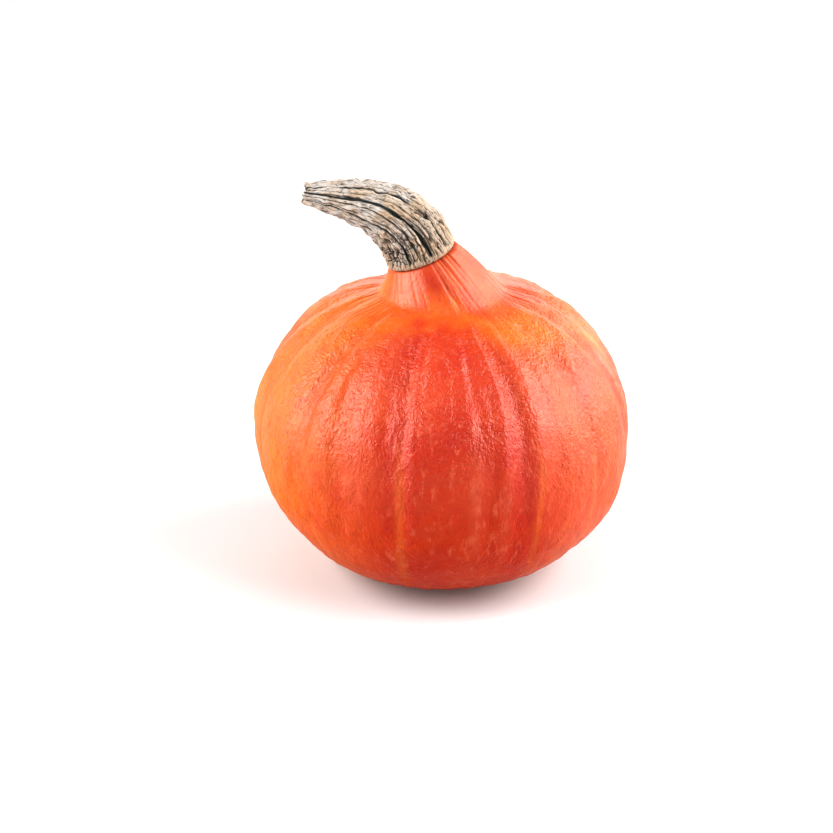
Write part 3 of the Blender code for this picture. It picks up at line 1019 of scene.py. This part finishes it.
def mixed(tree, share, first, second):
    """The first colour where the share is 0 and the second where it is 1."""
    node = tree.nodes.new("ShaderNodeMix")
    node.data_type = "RGBA"
    tree.links.new(share, node.inputs["Factor"])
    for socket, colour in zip((node.inputs[6], node.inputs[7]), (first, second)):
        if isinstance(colour, tuple):
            socket.default_value = colour
        else:
            tree.links.new(colour, socket)
    return node.outputs[2]


def bumped(tree, height, depth, under=None):
    """The surface direction over a bump of some depth, on top of the bumps under it."""
    node = tree.nodes.new("ShaderNodeBump")
    node.inputs["Strength"].default_value = 1.0
    node.inputs["Distance"].default_value = depth
    tree.links.new(height, node.inputs["Height"])
    if under is not None:
        tree.links.new(under, node.inputs["Normal"])
    return node.outputs["Normal"]


def skin_material():
    material, tree, shader = new_material("orange_red_skin")
    even = object_coordinates(tree)
    upright = object_coordinates(tree, MOTTLE_STRETCH)
    tall = object_coordinates(tree, STREAK_STRETCH)
    rough = read_mark(tree, "rough")
    dull_and_shaded = read_mark(tree, "dull_and_shaded")
    mottle = patterned(tree, upright, SKIN_MOTTLE)
    colour = mixed(tree, patterned(tree, even, SKIN_CLOUDS), DEEP_RED, WARM_RED)
    for name, shade in (("lobe", LOBE_RED), ("ring", RING_ORANGE), ("orange", SIDE_ORANGE)):
        colour = mixed(tree, multiplied(tree, read_mark(tree, name), mottle), colour, shade)
    colour = mixed(tree, read_mark(tree, "yellow"), colour, SKIN_YELLOW)
    colour = mixed(tree, multiplied(tree, read_mark(tree, "vein"), VEIN_YELLOW), colour, SKIN_YELLOW)
    # Painted shade in the furrows, under the front of the stem and on a patch of the front.
    colour = mixed(tree, read_mark(tree, "painted_shade"), colour, SHADE_AND_SPECK_RED)
    # Painted shade that darkens the low front.
    colour = mixed(tree, multiplied(tree, dull_and_shaded, LOW_FRONT_SHADE_SHARE), colour, SHADE_AND_SPECK_RED)
    colour = mixed(tree, patterned(tree, upright, SKIN_SPECKS), colour, SHADE_AND_SPECK_RED)
    colour = mixed(tree, multiplied(tree, patterned(tree, tall, SKIN_STREAKS), rough), colour, PALE_STREAK_AND_HIGHLIGHT)
    # Painted highlights along ridges and welts.
    colour = mixed(tree, read_mark(tree, "painted_highlight"), colour, PALE_STREAK_AND_HIGHLIGHT)
    colour = mixed(tree, read_mark(tree, "scar"), colour, SCAR_BROWN)
    tree.links.new(colour, shader.inputs["Base Color"])
    normal = None
    for vector, (settings, depth) in ((upright, WRINKLE_BUMP), (even, PORE_BUMP)):
        height = multiplied(tree, noise_value(tree, vector, settings), rough)
        normal = bumped(tree, height, depth, normal)
    tree.links.new(normal, shader.inputs["Normal"])
    tree.links.new(patterned(tree, even, SKIN_WEAR), shader.inputs["Roughness"])
    tree.links.new(spread_out(tree, dull_and_shaded, (0.0, 1.0), SKIN_GLOSS), shader.inputs["Specular IOR Level"])
    return material


def cork_material():
    material, tree, shader = new_material("dried_cork")
    even = object_coordinates(tree)
    along = read_mark(tree, "fibre", "Vector")
    crack = spread_out(tree, read_mark(tree, "crack"), CRACK_STRETCH)
    groove = spread_out(tree, read_mark(tree, "groove"), GROOVE_STRETCH)
    colour = mixed(tree, patterned(tree, even, CORK_BLOTCHES), CORK_TAN, CORK_PALE)
    colour = mixed(tree, multiplied(tree, read_mark(tree, "tan"), TAN_SHARE), colour, CORK_TAN)
    colour = mixed(tree, multiplied(tree, read_mark(tree, "collar"), COLLAR_TAN), colour, CORK_TAN)
    colour = mixed(tree, patterned(tree, along, CORK_FIBRES), colour, CORK_TAN)
    colour = mixed(tree, patterned(tree, along, CORK_FLECKS), colour, CORK_DARK)
    colour = mixed(tree, patterned(tree, along, CORK_PATCHES), colour, CORK_DARK)
    colour = mixed(tree, crack, colour, CORK_DARK)
    colour = mixed(tree, groove, colour, GROOVE_SLATE)
    colour = mixed(tree, multiplied(tree, read_mark(tree, "inner"), INNER_DARKNESS), colour, CORK_DARK)
    tree.links.new(colour, shader.inputs["Base Color"])
    normal = None
    for vector, (settings, depth) in ((along, STRAND_BUMP), (even, CORK_GRAIN_BUMP)):
        normal = bumped(tree, noise_value(tree, vector, settings), depth, normal)
    tree.links.new(normal, shader.inputs["Normal"])
    shader.inputs["Roughness"].default_value = 0.85
    shader.inputs["Specular IOR Level"].default_value = 0.3
    return material


def floor_material():
    material, tree, shader = new_material("pale_floor")
    shader.inputs["Base Color"].default_value = FLOOR_WHITE
    shader.inputs["Roughness"].default_value = 0.9
    shader.inputs["Specular IOR Level"].default_value = 0.1
    return material


def add_floor():
    shape = bmesh.new()
    bmesh.ops.create_grid(shape, x_segments=1, y_segments=1, size=FLOOR_HALF_SIZE)
    mesh = bpy.data.meshes.new("floor")
    shape.to_mesh(mesh)
    shape.free()
    mesh.materials.append(floor_material())
    floor = bpy.data.objects.new("floor", mesh)
    bpy.context.scene.collection.objects.link(floor)


def add_softbox(name, azimuth, elevation, distance, sides, radiance):
    """A rectangular area light that faces the middle of the squash."""
    light = bpy.data.lights.new(name, "AREA")
    light.shape = "RECTANGLE"
    light.size, light.size_y = sides
    light.energy = radiance * math.pi * sides[0] * sides[1]
    lamp = bpy.data.objects.new(name, light)
    bpy.context.scene.collection.objects.link(lamp)
    turn, rise = math.radians(azimuth), math.radians(elevation)
    away = Vector((math.sin(turn) * math.cos(rise), -math.cos(turn) * math.cos(rise), math.sin(rise)))
    lamp.location = Vector((0, 0, WIDEST_LEVEL)) + away * distance
    lamp.rotation_euler = (-away).to_track_quat("-Z", "Y").to_euler()
    lamp.visible_camera = False


def add_lights():
    for softbox in SOFTBOXES:
        add_softbox(*softbox)
    world = bpy.data.worlds.new("studio")
    world.use_nodes = True
    background = world.node_tree.nodes["Background"]
    background.inputs["Color"].default_value = WORLD_WHITE
    background.inputs["Strength"].default_value = WORLD_STRENGTH
    bpy.context.scene.world = world


def add_camera():
    data = bpy.data.cameras.new("camera")
    data.sensor_width = SENSOR_WIDTH
    data.lens = LENS
    data.shift_x = (PHOTO_SIZE / 2 - AIM_PIXEL[0]) / PHOTO_SIZE
    data.shift_y = (AIM_PIXEL[1] - PHOTO_SIZE / 2) / PHOTO_SIZE
    camera = bpy.data.objects.new("camera", data)
    bpy.context.scene.collection.objects.link(camera)
    rise = math.radians(CAMERA_ELEVATION)
    away = Vector((0, -math.cos(rise), math.sin(rise)))
    camera.location = Vector((0, 0, WIDEST_LEVEL)) + away * (VIEW_WIDTH * LENS / SENSOR_WIDTH)
    camera.rotation_euler = (math.pi / 2 - rise, 0, 0)
    bpy.context.scene.camera = camera


def main():
    view = bpy.context.scene.view_settings
    view.view_transform = "Standard"
    view.exposure = EXPOSURE_STOPS
    view.gamma = TONE_GAMMA
    make_skin()
    make_stem()
    add_floor()
    add_lights()
    add_camera()


main()
